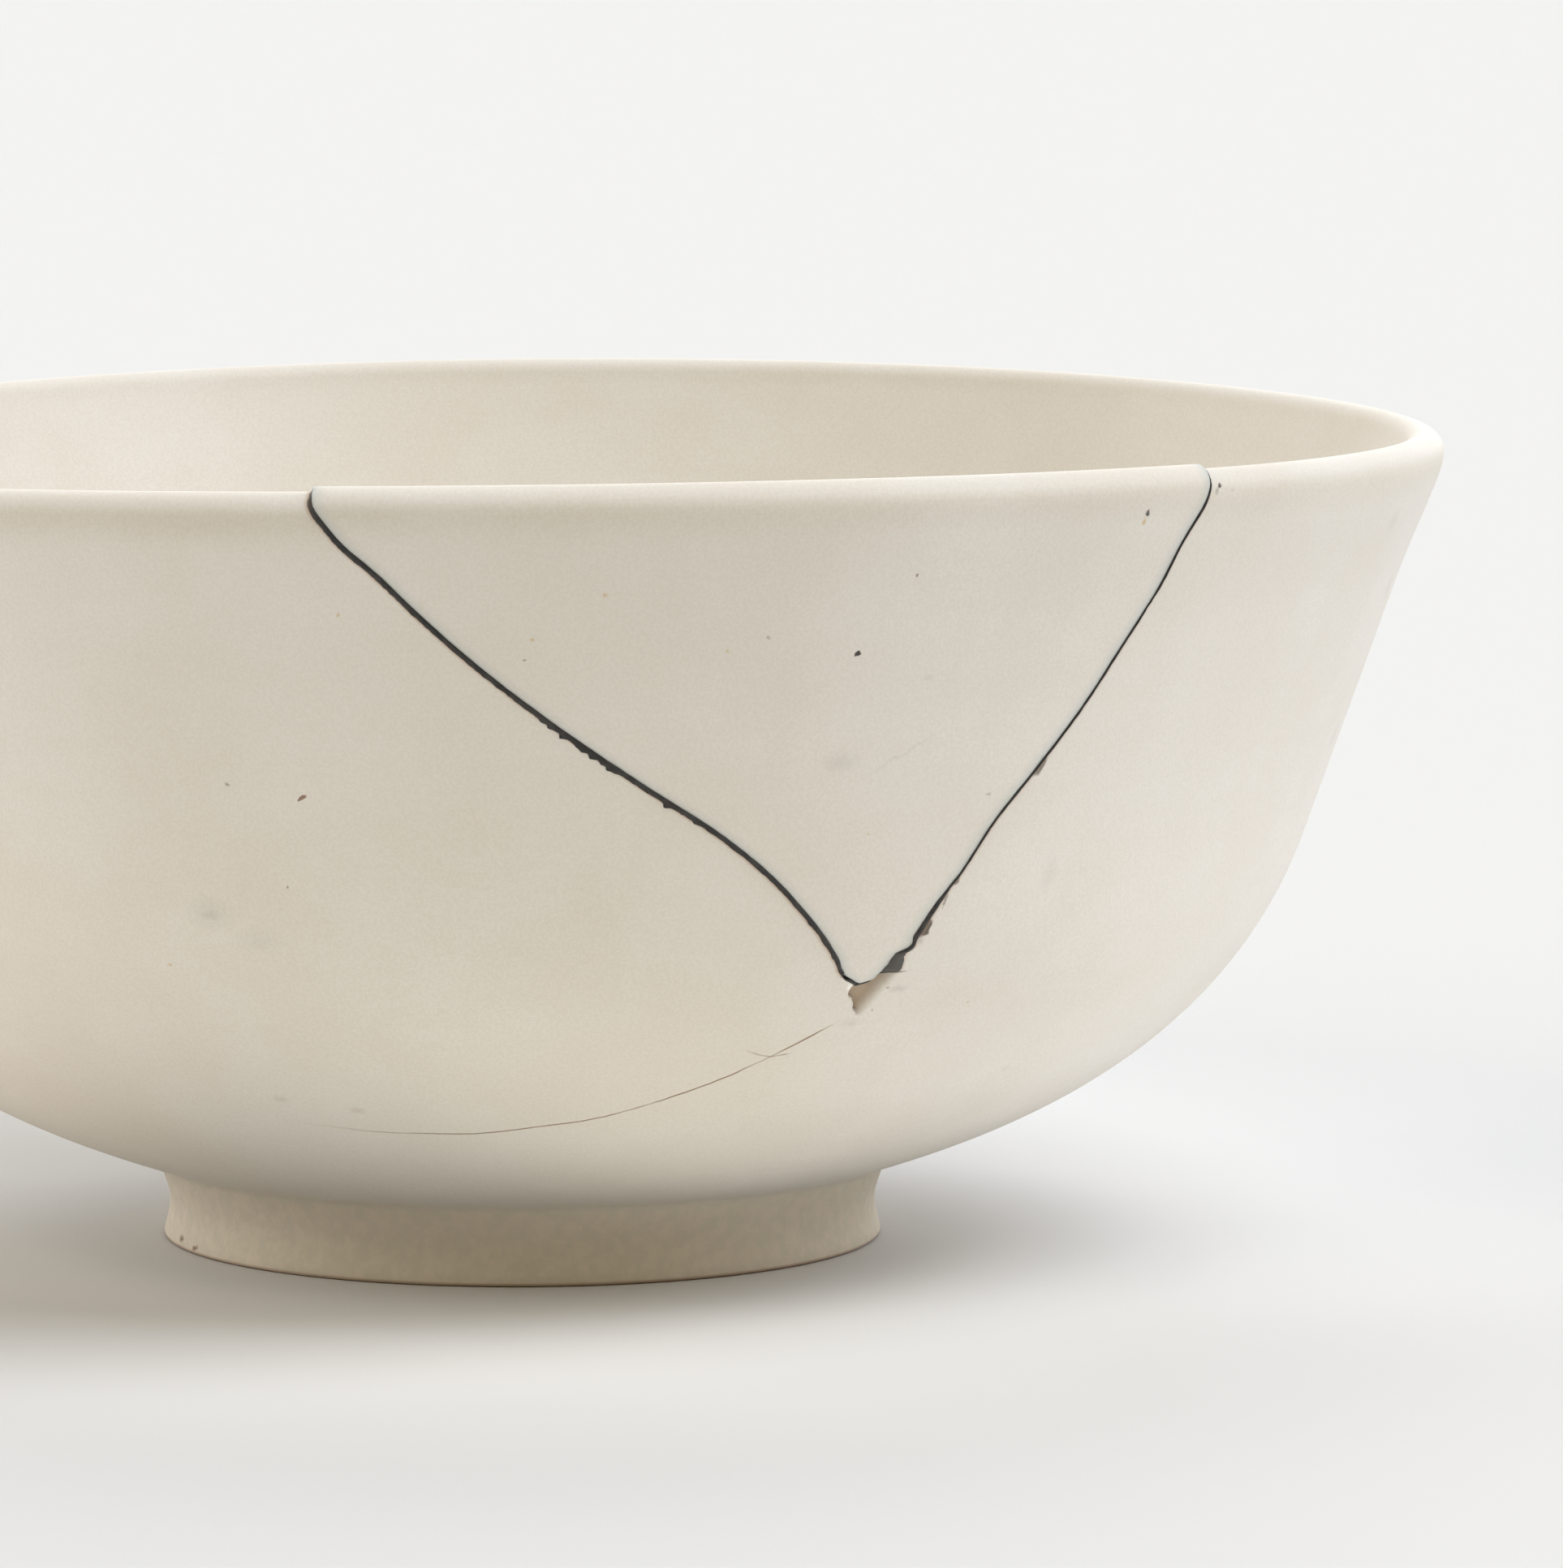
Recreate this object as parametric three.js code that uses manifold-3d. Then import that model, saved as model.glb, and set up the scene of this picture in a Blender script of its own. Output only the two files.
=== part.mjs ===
// A thrown ceramic bowl on a turned foot ring. A triangle broke out of its front wall and was
// glued back with dark adhesive. Millimetres, +Z up, the front of the bowl faces -Y.
import * as THREE from "three";
import { mergeVertices } from "three/addons/utils/BufferGeometryUtils.js";
import Module from "manifold-3d";

// Bowl: radii from the axis, heights from the surface that it stands on.
const RIM_RADIUS = 75;
const RIM_HEIGHT = 66.2;
const LIP_OUTER_ROUND = 1.7;
const LIP_INNER_ROUND = 1.4;
const FLARE_HEIGHT = 55;
const FLARE_PULL = 4;
const BELLY_TOP_RADIUS = 63.87;
const BELLY_TOP_HEIGHT = 33.64;
const WALL_LEAN = THREE.MathUtils.degToRad(19.57);
const BELLY_RISE = THREE.MathUtils.degToRad(20.1);
const BELLY_LOW_PULL = 6.67;
const BELLY_HIGH_PULL = 21.12;
const WALL_AT_BELLY = 3.6;
const WALL_AT_FOOT = 4.4;
const INNER_PULL_SHARE = 0.9;
const FLOOR_HEIGHT = 9;

// Foot ring, with a recess turned out under the floor.
const FOOT_RADIUS = 29.4;
const FOOT_TOP_RADIUS = 29.7;
const FOOT_HEIGHT = 6.2;
const FOOT_WAIST_RADIUS = 28.7;
const FOOT_EDGE = 0.3;
const FOOT_RING_WIDTH = 5;
const FOOT_RECESS_DEPTH = 4.8;
const FOOT_RECESS_DRAFT = 0.6;

// The rim sagged a little at both sides in the kiln and rises towards +X.
const RIM_SADDLE = -0.644;
const RIM_TILT = 0.0104;

// Break line as [degrees round from the front, height], from the left rim by the tip to the right.
const BREAK_LINE = [
  [-12.1, 66.4], [-12.2, 65.4], [-10, 61.9], [-4.9, 55.2], [4.2, 46.6], [13.2, 39.6],
  [19.3, 33.7], [22.7, 29.4], [23.6, 28.1], [25, 27.4], [26.4, 27.9], [27.9, 29.8],
  [30.9, 35.6], [36.7, 46.2], [40.4, 53.1], [42.4, 59], [44.1, 64.2], [44.5, 66.4],
];
const BREAK_STEPS = 32;
const BREAK_MEAN_RADIUS = 68;
const BREAK_TOP = 74;
const BREAK_REACH = [24, 92];
const SEAM_WIDTH_LEFT = 0.7;
const SEAM_WIDTH_RIGHT = 0.45;
const GLUE_CLEARANCE = 0.07;

// The sherd sits a little high, up the lean of the wall.
const SHERD_LIFT = 0.4;
const SHERD_FACING = THREE.MathUtils.degToRad(18);

// Chip in the body below the sherd's tip: corners as in BREAK_LINE, floor as a radius.
const CHIP_CORNERS = [[23.3, 28.4], [25.6, 25], [28.2, 28.6]];
const CHIP_FLOOR_RADIUS = 59.7;

const RADIAL_SEGMENTS = 64;
const CURVE_STEPS = 6;

const wasm = await Module();
wasm.setup();

const clay = new THREE.MeshStandardMaterial({ color: 0xd6cfc0, roughness: 0.75, metalness: 0 });
const glue = new THREE.MeshStandardMaterial({ color: 0x2b2826, roughness: 0.55, metalness: 0 });

// A closed solid from a geometry whose shared vertices are merged. Triangles that collapse on the
// axis of a lathe are dropped.
function solid(geometry) {
  geometry.deleteAttribute("normal");
  geometry.deleteAttribute("uv");
  const merged = mergeVertices(geometry);
  const corners = [];
  for (let i = 0; i < merged.index.count; i += 3) {
    const [a, b, c] = [0, 1, 2].map((k) => merged.index.getX(i + k));
    if (a !== b && b !== c && c !== a) corners.push(a, b, c);
  }
  const vertProperties = Float32Array.from(merged.attributes.position.array);
  const triVerts = Uint32Array.from(corners);
  return new wasm.Manifold(new wasm.Mesh({ numProp: 3, vertProperties, triVerts }));
}

// Moves every vertex of a geometry to the place that a function gives for it.
function reshape(geometry, place) {
  const position = geometry.attributes.position;
  const vertex = new THREE.Vector3();
  for (let i = 0; i < position.count; i += 1) {
    vertex.fromBufferAttribute(position, i);
    place(vertex);
    position.setXYZ(i, vertex.x, vertex.y, vertex.z);
  }
  return geometry;
}

// The warp of the firing: nothing at the foot, all of it at the rim.
function warp(vertex) {
  const around = Math.atan2(vertex.y, vertex.x);
  const sag = RIM_SADDLE * Math.cos(2 * around) + RIM_TILT * vertex.x;
  vertex.z += sag * (vertex.z / RIM_HEIGHT) ** 2;
}

// A closed half section of the bowl, from the axis under the floor, out over the foot ring, up the
// outside, over the lip and down the inside to the axis again.
function section() {
  const ringInner = FOOT_RADIUS - FOOT_RING_WIDTH;
  const upWall = new THREE.Vector2(Math.sin(WALL_LEAN), Math.cos(WALL_LEAN));
  const offWall = new THREE.Vector2(-upWall.y, upWall.x);
  const upBelly = new THREE.Vector2(Math.cos(BELLY_RISE), Math.sin(BELLY_RISE));
  const offBelly = new THREE.Vector2(-upBelly.y, upBelly.x);

  const footTop = new THREE.Vector2(FOOT_TOP_RADIUS, FOOT_HEIGHT);
  const bellyTop = new THREE.Vector2(BELLY_TOP_RADIUS, BELLY_TOP_HEIGHT);
  const bellyLow = footTop.clone().addScaledVector(upBelly, BELLY_LOW_PULL);
  const bellyHigh = bellyTop.clone().addScaledVector(upWall, -BELLY_HIGH_PULL);

  const wallRun = (FLARE_HEIGHT - BELLY_TOP_HEIGHT) / upWall.y;
  const flareStart = bellyTop.clone().addScaledVector(upWall, wallRun);
  const flareLow = flareStart.clone().addScaledVector(upWall, FLARE_PULL);
  const flareEnd = RIM_HEIGHT - LIP_OUTER_ROUND;
  const crestRadius = RIM_RADIUS - LIP_OUTER_ROUND;
  const lipInner = crestRadius - LIP_INNER_ROUND;

  const innerTop = bellyTop.clone().addScaledVector(offWall, WALL_AT_BELLY);
  const innerFoot = footTop.clone().addScaledVector(offBelly, WALL_AT_FOOT);
  const innerHigh = innerTop.clone().addScaledVector(upWall, -BELLY_HIGH_PULL * INNER_PULL_SHARE);
  const innerLow = innerFoot.clone().addScaledVector(upBelly, BELLY_LOW_PULL * INNER_PULL_SHARE);
  const floorTurn = innerFoot.x - (innerFoot.y - FLOOR_HEIGHT) / Math.tan(BELLY_RISE);

  const path = new THREE.Path();
  path.moveTo(0, FOOT_RECESS_DEPTH);
  path.lineTo(ringInner - FOOT_RECESS_DRAFT, FOOT_RECESS_DEPTH);
  path.lineTo(ringInner, 0);
  path.lineTo(FOOT_RADIUS - FOOT_EDGE, 0);
  path.lineTo(FOOT_RADIUS, FOOT_EDGE);
  path.quadraticCurveTo(FOOT_WAIST_RADIUS, FOOT_HEIGHT / 2, footTop.x, footTop.y);
  path.bezierCurveTo(bellyLow.x, bellyLow.y, bellyHigh.x, bellyHigh.y, bellyTop.x, bellyTop.y);
  path.lineTo(flareStart.x, flareStart.y);
  path.bezierCurveTo(flareLow.x, flareLow.y, RIM_RADIUS, flareEnd - LIP_OUTER_ROUND, RIM_RADIUS, flareEnd);
  path.quadraticCurveTo(RIM_RADIUS, RIM_HEIGHT, crestRadius, RIM_HEIGHT);
  path.quadraticCurveTo(lipInner, RIM_HEIGHT, lipInner, RIM_HEIGHT - LIP_INNER_ROUND);
  path.lineTo(innerTop.x, innerTop.y);
  path.bezierCurveTo(innerHigh.x, innerHigh.y, innerLow.x, innerLow.y, innerFoot.x, innerFoot.y);
  path.quadraticCurveTo(floorTurn, FLOOR_HEIGHT, 0, FLOOR_HEIGHT);
  return path.getPoints(CURVE_STEPS);
}

// The whole bowl before it broke, lifted up the lean of the wall at the sherd by a given amount.
function wholeBowl(lift) {
  const geometry = new THREE.LatheGeometry(section(), RADIAL_SEGMENTS);
  geometry.rotateX(Math.PI / 2);
  reshape(geometry, warp);
  const out = lift * Math.tan(WALL_LEAN);
  geometry.translate(out * Math.sin(SHERD_FACING), -out * Math.cos(SHERD_FACING), lift);
  return solid(geometry);
}

// A place on the break, flattened: distance round the bowl at the mean radius, and height.
function flat([degrees, height]) {
  return new THREE.Vector2(THREE.MathUtils.degToRad(degrees) * BREAK_MEAN_RADIUS, height);
}

// A flat outline run through the wall from one radius to another, along lines from the axis.
function throughWall(outline, innerRadius, outerRadius) {
  const geometry = new THREE.ExtrudeGeometry(new THREE.Shape(outline), { depth: 1, bevelEnabled: false });
  reshape(geometry, (vertex) => {
    const radius = innerRadius + vertex.z * (outerRadius - innerRadius);
    const angle = vertex.x / BREAK_MEAN_RADIUS;
    vertex.set(radius * Math.sin(angle), -radius * Math.cos(angle), vertex.y);
    warp(vertex);
  });
  return solid(geometry);
}

// The break as a wedge, moved out from the middle of the seam by a share of its half width, less a
// clearance. A share of 1 is the body's broken edge and -1 the sherd's.
function breakWedge(share, clearance, margin) {
  const line = new THREE.SplineCurve(BREAK_LINE.map(flat));
  const edge = [];
  for (let i = 0; i <= BREAK_STEPS; i += 1) {
    const along = i / BREAK_STEPS;
    const half = THREE.MathUtils.lerp(SEAM_WIDTH_LEFT, SEAM_WIDTH_RIGHT, along) / 2;
    const step = share * (half - clearance);
    const direction = line.getTangentAt(along);
    const point = line.getPointAt(along);
    edge.push(new THREE.Vector2(point.x + direction.y * step, point.y - direction.x * step));
  }
  const top = BREAK_TOP + margin;
  const outline = [new THREE.Vector2(edge[0].x, top), ...edge, new THREE.Vector2(edge.at(-1).x, top)];
  return throughWall(outline, BREAK_REACH[0] - margin, BREAK_REACH[1] + margin);
}

function piece(name, shape, material) {
  const mesh = shape.getMesh();
  const geometry = new THREE.BufferGeometry();
  geometry.setAttribute("position", new THREE.BufferAttribute(mesh.vertProperties, 3));
  geometry.setIndex(new THREE.BufferAttribute(mesh.triVerts, 1));
  const result = new THREE.Mesh(geometry, material);
  result.name = name;
  return result;
}

const bowl = wholeBowl(0);
const chip = throughWall(CHIP_CORNERS.map(flat), CHIP_FLOOR_RADIUS, BREAK_REACH[1]);
const body = bowl.subtract(breakWedge(1, 0, 0)).subtract(chip);
const sherd = wholeBowl(SHERD_LIFT).intersect(breakWedge(-1, 0, 0));
const seam = breakWedge(1, GLUE_CLEARANCE, 0).subtract(breakWedge(-1, GLUE_CLEARANCE, 1));

const mendedBowl = new THREE.Group();
mendedBowl.add(piece("bowl_body", body, clay));
mendedBowl.add(piece("rim_sherd", sherd, clay));
mendedBowl.add(piece("glue_seam", bowl.intersect(seam), glue));

export default mendedBowl;
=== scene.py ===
import math

import bmesh
import bpy
import numpy as np
from mathutils import Matrix, Vector, geometry, noise


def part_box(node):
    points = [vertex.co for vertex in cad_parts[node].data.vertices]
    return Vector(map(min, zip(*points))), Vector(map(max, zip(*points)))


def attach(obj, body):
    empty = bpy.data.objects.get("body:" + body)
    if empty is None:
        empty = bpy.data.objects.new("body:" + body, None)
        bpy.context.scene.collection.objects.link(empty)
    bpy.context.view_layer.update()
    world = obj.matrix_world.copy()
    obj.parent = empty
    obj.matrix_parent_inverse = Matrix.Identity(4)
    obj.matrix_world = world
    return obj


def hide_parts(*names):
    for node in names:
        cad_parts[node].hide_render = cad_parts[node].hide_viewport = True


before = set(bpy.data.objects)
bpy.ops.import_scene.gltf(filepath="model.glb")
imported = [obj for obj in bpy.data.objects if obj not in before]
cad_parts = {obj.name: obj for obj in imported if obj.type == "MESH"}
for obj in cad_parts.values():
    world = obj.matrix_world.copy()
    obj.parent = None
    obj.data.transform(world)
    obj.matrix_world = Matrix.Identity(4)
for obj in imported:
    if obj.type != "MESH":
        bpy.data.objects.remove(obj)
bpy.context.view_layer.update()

# The bowl's body. Pale clay thrown on the wheel and fired matte, with a turned foot ring. A
# triangle has broken out of its front wall, a chip is missing below the tip of that break, and a
# hairline crack runs from there to the left.
MM = 0.001
body_low, body_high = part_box("bowl_body")
BOX_CLEARANCE = 0.002 * MM
RIM_RADIUS = (body_high.x - body_low.x) / 2 - BOX_CLEARANCE
RIM_HEIGHT = 66.2 * MM
LIP_OUTER_ROUND = 1.7 * MM
LIP_INNER_ROUND = 1.4 * MM
LIP_STEPS = 7
FLARE_HEIGHT = 55 * MM
FLARE_PULL = 4 * MM
BELLY_TOP = Vector((63.87, 0, 33.64)) * MM
BELLY_LOW_PULL = 6.67 * MM
BELLY_HIGH_PULL = 21.12 * MM
WALL_LEAN = math.radians(19.57)
BELLY_RISE = math.radians(20.1)
WALL_AT_BELLY = 3.6 * MM
WALL_AT_FOOT = 4.4 * MM
INNER_PULL_SHARE = 0.9
FLOOR_HEIGHT = 9 * MM
FOOT_TOP = Vector((29.7, 0, 6.2)) * MM
FOOT_RADIUS = 29.4 * MM
FOOT_WAIST = Vector((28.7, 0, 3.1)) * MM
FOOT_EDGE = 0.35 * MM
FOOT_RING_WIDTH = 5 * MM
FOOT_RECESS_DEPTH = 4.8 * MM
FOOT_RECESS_DRAFT = 0.6 * MM
CURVE_STEPS = 160

up_wall = Vector((math.sin(WALL_LEAN), 0, math.cos(WALL_LEAN)))
off_wall = Vector((-up_wall.z, 0, up_wall.x))
up_belly = Vector((math.cos(BELLY_RISE), 0, math.sin(BELLY_RISE)))
off_belly = Vector((-up_belly.z, 0, up_belly.x))
flare_start = BELLY_TOP + up_wall * ((FLARE_HEIGHT - BELLY_TOP.z) / up_wall.z)
flare_end = Vector((RIM_RADIUS, 0, RIM_HEIGHT - LIP_OUTER_ROUND))
crest_radius = RIM_RADIUS - LIP_OUTER_ROUND
lip_inner = Vector((crest_radius - LIP_INNER_ROUND, 0, RIM_HEIGHT - LIP_INNER_ROUND))
inner_top = BELLY_TOP + off_wall * WALL_AT_BELLY
inner_foot = FOOT_TOP + off_belly * WALL_AT_FOOT

outer_curve = geometry.interpolate_bezier(
    FOOT_TOP, FOOT_TOP + up_belly * BELLY_LOW_PULL,
    BELLY_TOP - up_wall * BELLY_HIGH_PULL, BELLY_TOP, CURVE_STEPS)
outer_curve += geometry.interpolate_bezier(
    flare_start, flare_start + up_wall * FLARE_PULL,
    flare_end - Vector((0, 0, LIP_OUTER_ROUND)), flare_end, CURVE_STEPS)
inner_curve = geometry.interpolate_bezier(
    inner_foot, inner_foot + up_belly * BELLY_LOW_PULL * INNER_PULL_SHARE,
    inner_top - up_wall * BELLY_HIGH_PULL * INNER_PULL_SHARE, inner_top, CURVE_STEPS)
inner_curve.append(lip_inner)


def radius_at(curve, heights):
    return np.interp(heights, [p.z for p in curve], [p.x for p in curve])


def lip_arc():
    """Points over the rounded lip, from the outside to the inside, without its two ends."""
    arc = []
    for i in range(1, 2 * LIP_STEPS):
        turn = math.pi / 2 * i / LIP_STEPS
        size = LIP_OUTER_ROUND if i <= LIP_STEPS else LIP_INNER_ROUND
        arc.append((crest_radius + size * math.cos(turn), RIM_HEIGHT - size + size * math.sin(turn)))
    return arc


def wall_section(mesh, heights):
    """Faces across the wall between pairs of points at the given heights, closed by the lip."""
    outer = [mesh.verts.new((r, 0, z)) for r, z in zip(radius_at(outer_curve, heights), heights)]
    inner = [mesh.verts.new((r, 0, z)) for r, z in zip(radius_at(inner_curve, heights), heights)]
    for i in range(len(heights) - 1):
        mesh.faces.new((outer[i], outer[i + 1], inner[i + 1], inner[i]))
    lip = [mesh.verts.new((r, 0, z)) for r, z in lip_arc()]
    mesh.faces.new([outer[-1]] + lip + [inner[-1]])
    return outer, inner


# Break lines as (height in mm, degrees round from the front), from the tip up to the rim.
BREAK_LEFT = (
    (27.4, 25.0), (27.55, 24.65), (27.85, 24.1), (28.25, 23.5), (29.4, 22.72), (31.6, 21.1),
    (33.7, 19.3), (36.1, 17.1), (39.6, 13.2), (43.9, 7.5), (48.1, 2.4), (53.3, -3.0), (57.2, -6.35),
    (60.6, -8.95), (61.9, -10.1), (62.8, -10.7), (63.9, -11.35), (65.1, -12.0), (66.4, -12.15))
BREAK_RIGHT = (
    (27.4, 25.0), (27.6, 25.8), (28.0, 26.2), (28.7, 26.8), (29.4, 27.1), (29.75, 27.4), (29.9, 27.8),
    (31.1, 28.4), (33.6, 29.6), (35.6, 30.9), (39.9, 33.0), (44.0, 35.6), (48.3, 38.1), (53.1, 40.3),
    (57.0, 42.0), (61.1, 43.0), (64.2, 44.1), (66.4, 44.5))
TIP_ANGLE = math.radians(25)
TIP_HEIGHT = 27.4 * MM
FRONT = -math.pi / 2
EDGE_SAMPLES = 2400
EDGE_SETTLE = 0.3 * MM
EDGE_OVERSHOOT = 1 * MM
# Waves of the raggedness, as (waves for each mm, share).
RAGGED_WAVES = ((1.3, 1.0), (3.1, 0.6))


def smooth_curve(points):
    """A smooth function through (place, value) points."""
    places, values = np.array(points, float).T
    slopes = np.gradient(values, places)

    def value(place):
        i = int(np.clip(np.searchsorted(places, place) - 1, 0, len(places) - 2))
        step = places[i + 1] - places[i]
        s = min(max((place - places[i]) / step, 0), 1)
        rise = s * s * (3 - 2 * s)
        lead = s * (1 - s) ** 2 * slopes[i] - s * s * (1 - s) * slopes[i + 1]
        return float(values[i] * (1 - rise) + values[i + 1] * rise + step * lead)

    return value


left_line = smooth_curve(BREAK_LEFT)
right_line = smooth_curve(BREAK_RIGHT)


def edge_line(line, drop, shifts, roughness, seed):
    """A broken edge as an angle for every height. It follows a break line, but lies lower by drop,
    sideways by shifts given as (height in mm, mm), and ragged. Below its tip it stays at the tip."""
    tip = TIP_HEIGHT - drop
    heights = np.linspace(tip, RIM_HEIGHT + EDGE_OVERSHOOT, EDGE_SAMPLES)
    places = (heights + drop) / MM
    sideways = np.interp(places, *np.array(shifts).T) * MM
    angles = []
    for height, place, shift in zip(heights, places, sideways):
        ragged = 0
        for i, (waves, share) in enumerate(RAGGED_WAVES):
            ragged += share * noise.noise(Vector((place * waves, seed, 5 * i)))
        settled = min((height - tip) / EDGE_SETTLE, 1)
        angles.append(math.radians(line(place)) + (shift + ragged * roughness) * settled / RIM_RADIUS)
    return lambda z: np.interp(z, heights, angles)


SPIN_ANGLE = math.radians(300)
PAST_END = 1.1
MERGE_DISTANCE = 0.002 * MM
SAME_HEIGHT = 0.001 * MM


def spin_section(mesh, columns):
    """Spins the section in the mesh about the axis and gives the faces that close its two ends."""
    start = mesh.faces[:]
    spun = bmesh.ops.spin(mesh, geom=mesh.verts[:] + mesh.edges[:] + mesh.faces[:], cent=(0, 0, 0),
                          axis=(0, 0, 1), angle=SPIN_ANGLE, steps=columns, use_merge=False)
    return start, [part for part in spun["geom_last"] if isinstance(part, bmesh.types.BMFace)]


def open_below(mesh, ends, height):
    """Takes away the end faces that lie below a height, where the two ends of a fan meet."""
    low = [face for face in ends if max(v.co.z for v in face.verts) < height + SAME_HEIGHT]
    bmesh.ops.delete(mesh, geom=low, context="FACES_ONLY")


def merge(mesh):
    """Joins vertices that meet and takes away the edges that are left without a face."""
    bmesh.ops.remove_doubles(mesh, verts=mesh.verts, dist=MERGE_DISTANCE)
    bmesh.ops.delete(mesh, geom=[edge for edge in mesh.edges if not edge.link_faces], context="EDGES")


def read_points(mesh):
    return np.array([v.co for v in mesh.verts])


def place_points(mesh, points):
    for v, point in zip(mesh.verts, points.tolist()):
        v.co = point


def fan_out(mesh, first, last, crowding=0.0):
    """Turns spun vertices about the axis so that the fan runs from one edge to another, with the
    columns crowded towards both, and gives the share of the way for every vertex."""
    points = read_points(mesh)
    heights = points[:, 2]
    radii = np.hypot(points[:, 0], points[:, 1])
    shares = np.arctan2(points[:, 1], points[:, 0]) % math.tau / SPIN_ANGLE
    shares = np.where(shares > PAST_END, 0.0, np.minimum(shares, 1.0))
    shares = shares - crowding * np.sin(math.tau * shares) / math.tau
    turns = FRONT + first(heights) + shares * (last(heights) - first(heights))
    place_points(mesh, np.stack([radii * np.cos(turns), radii * np.sin(turns), heights], axis=1))
    return shares


RIM_SADDLE = -0.644 * MM
RIM_TILT = 0.0104


def warp(points):
    """The warp of the firing: the rim sags at both sides and rises to the right."""
    around = np.arctan2(points[:, 1], points[:, 0])
    sag = RIM_SADDLE * np.cos(2 * around) + RIM_TILT * points[:, 0]
    moved = points.copy()
    moved[:, 2] += sag * (points[:, 2] / RIM_HEIGHT) ** 2
    return moved


def push(points, depths):
    """Moves points towards the axis."""
    radii = np.hypot(points[:, 0], points[:, 1])
    moved = points.copy()
    moved[:, :2] *= (1 - depths / np.maximum(radii, 1 * MM))[:, None]
    return moved


SHARP_ANGLE = math.radians(38)


def finish_piece(name, mesh, material, values):
    """Makes the mesh an object with smooth faces, sharp only where its edges really turn, and
    stores a value for every vertex under each of the given names."""
    bmesh.ops.recalc_face_normals(mesh, faces=mesh.faces)
    data = bpy.data.meshes.new(name)
    mesh.to_mesh(data)
    mesh.free()
    for label, numbers in values.items():
        data.attributes.new(label, "FLOAT", "POINT").data.foreach_set("value", numbers)
    data.shade_smooth()
    data.set_sharp_from_angle(angle=SHARP_ANGLE)
    data.materials.append(material)
    piece = bpy.data.objects.new(name, data)
    bpy.context.collection.objects.link(piece)
    return piece


BODY_COLUMNS = 256
BODY_CROWDING = 0.88
BODY_DROP = 0.15 * MM
BODY_SHIFTS_LEFT = ((27.4, 0), (28.2, -0.04), (30, -0.12), (67, -0.12))
BODY_SHIFTS_RIGHT = (
    (27.4, 0), (28.34, 0.06), (28.44, 1.6), (29.4, 1.2), (29.75, 0.75), (29.95, 0.1), (31, 0.42),
    (33.5, 0.3), (35, 0.0), (54.6, -0.02), (55.4, -0.11), (56.9, -0.11), (57.7, -0.02), (62, -0.02),
    (64, 0.07), (67, 0.07))
BODY_ROUGHNESS_LEFT = 0.09 * MM
BODY_ROUGHNESS_RIGHT = 0.045 * MM
LOWEST_RUNG = 26.4 * MM
TIP_ROW_STEP = 0.12 * MM
TIP_ROWS_END = 31 * MM
RUNG_STEP = 0.5 * MM
CHIP_ROW_STEP = 0.16 * MM
CHIP_ROWS_START = 23.6 * MM
LOW_ROW_STEP = 0.9 * MM
BELLY_ROW_STEP = 0.36 * MM
FLOOR_STEPS = 14
FOOT_STEPS = 12
RECESS_RINGS = (0, 0.5, 0.85)
FOOT_SOFTENED = FOOT_EDGE * 0.3
tip_of_body = TIP_HEIGHT - BODY_DROP


def steps(low, high, size):
    """Evenly spaced heights from low to high, both included, about size apart."""
    return list(np.linspace(low, high, max(int(round((high - low) / size)), 1) + 1))


def lower_outline():
    """The rest of the section, from the wall's inside by the floor and the foot to its outside."""
    inside = steps(LOWEST_RUNG, inner_foot.z, LOW_ROW_STEP)[1:-1]
    outline = list(zip(radius_at(inner_curve, inside), inside))
    floor_turn = inner_foot.x - (inner_foot.z - FLOOR_HEIGHT) / math.tan(BELLY_RISE)
    corner = Vector((floor_turn, 0, FLOOR_HEIGHT))
    middle = Vector((0, 0, FLOOR_HEIGHT))
    floor_line = geometry.interpolate_bezier(inner_foot, corner, corner, middle, FLOOR_STEPS)
    outline += [(p.x, p.z) for p in floor_line]
    ring_inner = FOOT_RADIUS - FOOT_RING_WIDTH
    recess = ring_inner - FOOT_RECESS_DRAFT
    outline += [(recess * share, FOOT_RECESS_DEPTH) for share in RECESS_RINGS]
    outline += [(recess - FOOT_EDGE, FOOT_RECESS_DEPTH), (recess, FOOT_RECESS_DEPTH - FOOT_EDGE)]
    outline += [(ring_inner, FOOT_EDGE), (ring_inner + FOOT_EDGE, 0)]
    outline += [(FOOT_RADIUS - FOOT_EDGE, 0), (FOOT_RADIUS - FOOT_SOFTENED, FOOT_SOFTENED)]
    foot_low = Vector((FOOT_RADIUS, 0, FOOT_EDGE))
    foot_high = FOOT_TOP - Vector((0, 0, FOOT_EDGE))
    foot = geometry.interpolate_bezier(foot_low, FOOT_WAIST, FOOT_WAIST, foot_high, FOOT_STEPS)
    outline += [(p.x, p.z) for p in foot]
    outline += [(FOOT_TOP.x + FOOT_EDGE, FOOT_TOP.z + FOOT_SOFTENED)]
    outside = steps(FOOT_TOP.z + BELLY_ROW_STEP, CHIP_ROWS_START, BELLY_ROW_STEP)
    outside += steps(CHIP_ROWS_START, LOWEST_RUNG, CHIP_ROW_STEP)[1:-1]
    return outline + list(zip(radius_at(outer_curve, outside), outside))


# The chip as places on the wall: mm round from the tip of the break, and mm above it.
CHIP_LEFT = np.array((-1.75, 0.9))
CHIP_POINT = np.array((0.75, -3.0))
CHIP_RIGHT = np.array((3.3, 1.1))
CHIP_TOP = 1.15
CHIP_DEPTH = 0.85 * MM
CHIP_STEEP = 0.3
CHIP_SLOPE = 1.2
CHIP_FACET = np.array((-0.95, 0.1))
CHIP_FACET_SIZE = 0.6
CHIP_FACET_RIM = 0.12
CHIP_FACET_SOFT = 1.5
CHIP_FACET_KEPT = 0.8
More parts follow.
